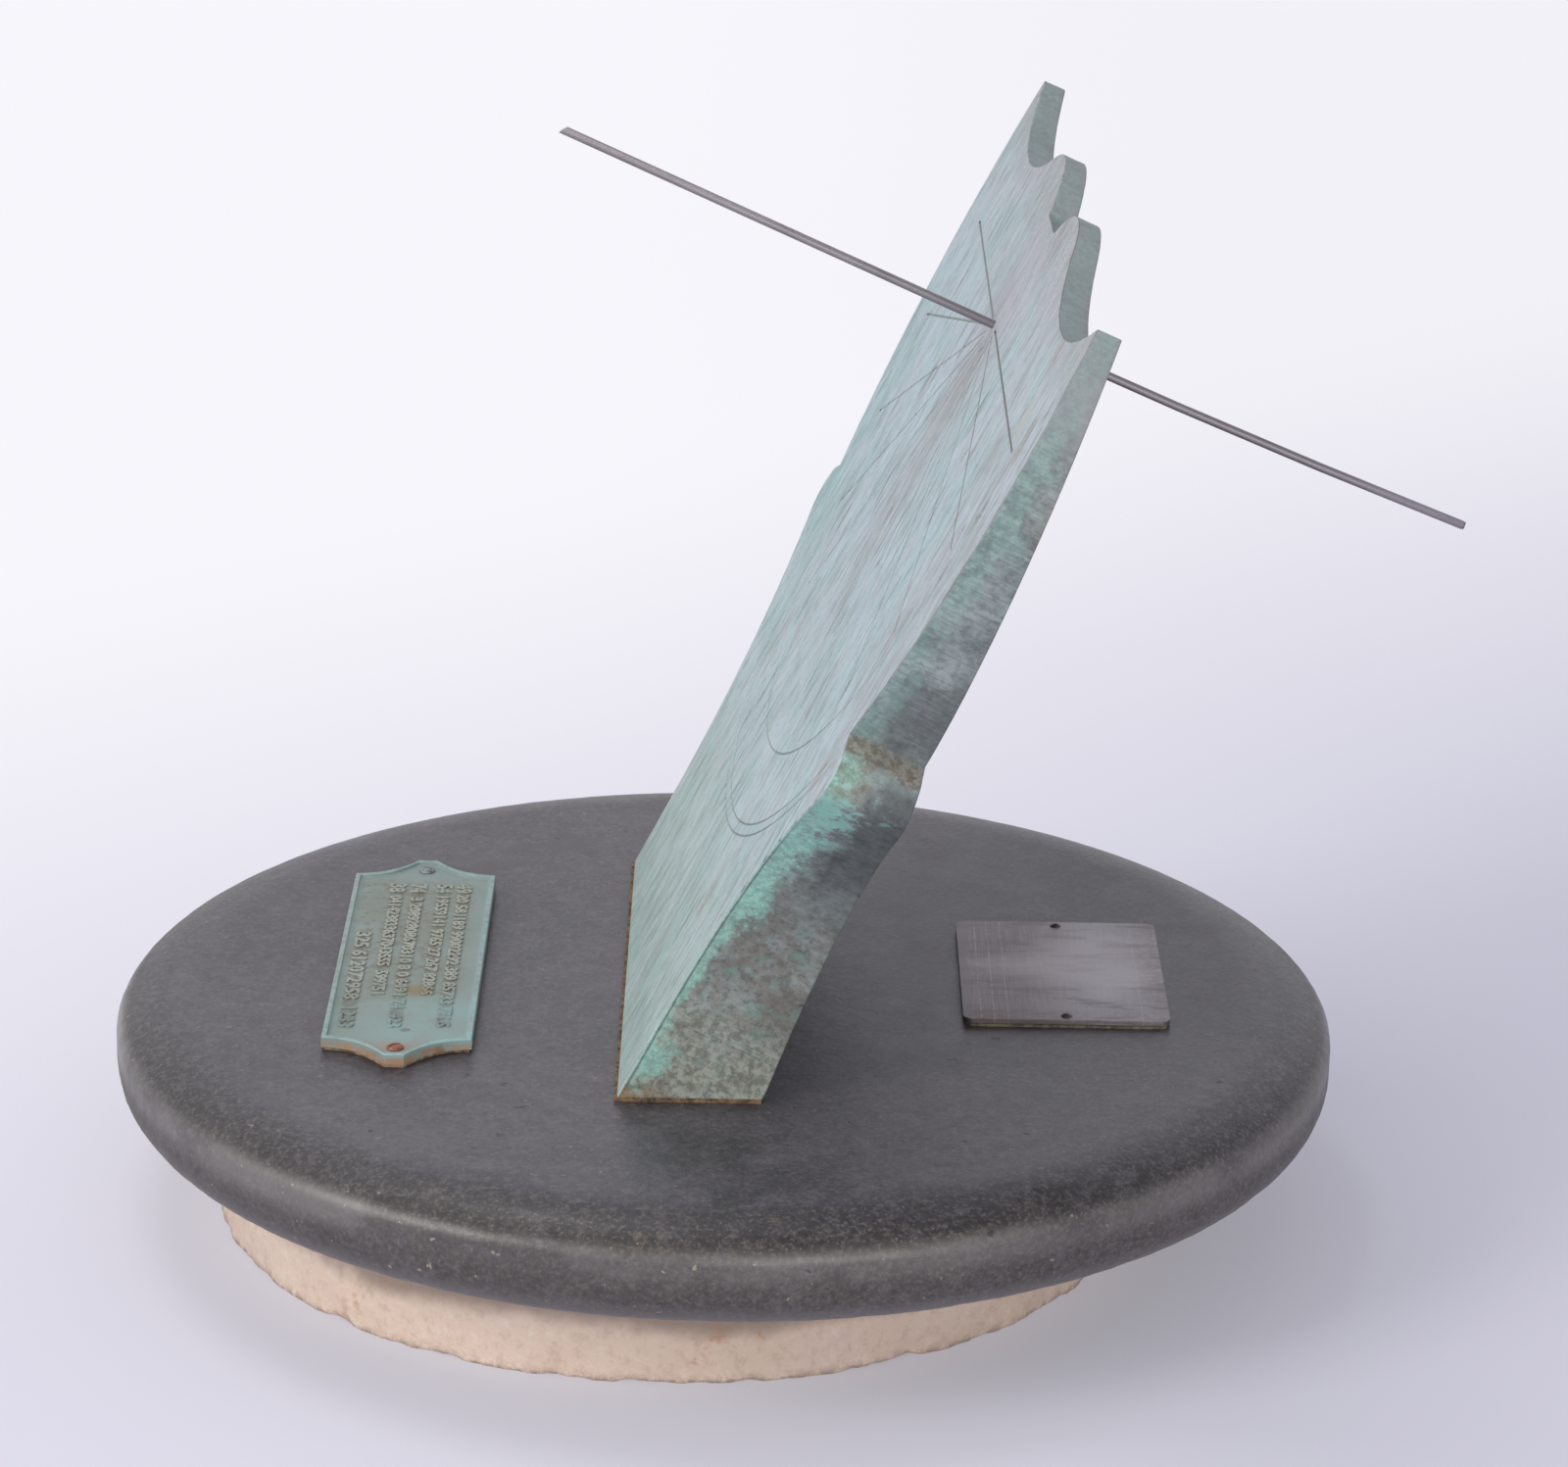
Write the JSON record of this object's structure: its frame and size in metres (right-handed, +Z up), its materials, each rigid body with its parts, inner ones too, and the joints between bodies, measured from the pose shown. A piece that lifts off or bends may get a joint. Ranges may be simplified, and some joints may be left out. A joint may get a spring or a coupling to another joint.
{
  "type": "sundial",
  "caption": "Garden sundial: a tapered bronze dial plate leans back on a round stone disc, with a steel rod through it as the gnomon, and plaques beside its foot.",
  "frame": {"origin": "on the underside of the footing, on the vertical through the centre of the base disc", "axes": "+Z up, -X towards the rod's upper end, Y across the dial plate"},
  "size_m": [0.544, 0.5, 0.4503],
  "materials": {
    "footing": "pale rough stone, grimy and chipped",
    "mortar": "raked mortar",
    "dark_stone": "dark stone, weathered, honed top",
    "bronze": "weathered bronze with pale green patina and brown streaks",
    "cast_bronze": "cast, verdigris on brown",
    "rod_steel": "weathered, dull brown",
    "plaque_steel": "brushed, dulled",
    "screw_steel": "tarnished",
    "stainless": "machined",
    "mastic": "set bedding mastic, rust stained",
    "sealant": "set sealant, yellowed",
    "plug_plastic": "wall plug plastic"
  },
  "bodies": {
    "root": {"footing_block": "footing", "mortar_joint": "mortar", "base_dowel": "stainless", "base_disc": "dark_stone", "plate_bedding": "mastic", "dial_plate": "bronze", "fixing_studs": "stainless", "stud_washers": "stainless", "stud_nuts": "stainless", "gnomon_rod": "rod_steel", "cast_plaque_bedding": "mastic", "cast_plaque": "cast_bronze", "plaque_screws": "screw_steel", "plaque_plugs": "plug_plastic", "steel_plaque_bedding": "sealant", "steel_plaque": "plaque_steel", "steel_plaque_pins": "screw_steel", "pin_plugs": "plug_plastic"}
  },
  "joints": []
}
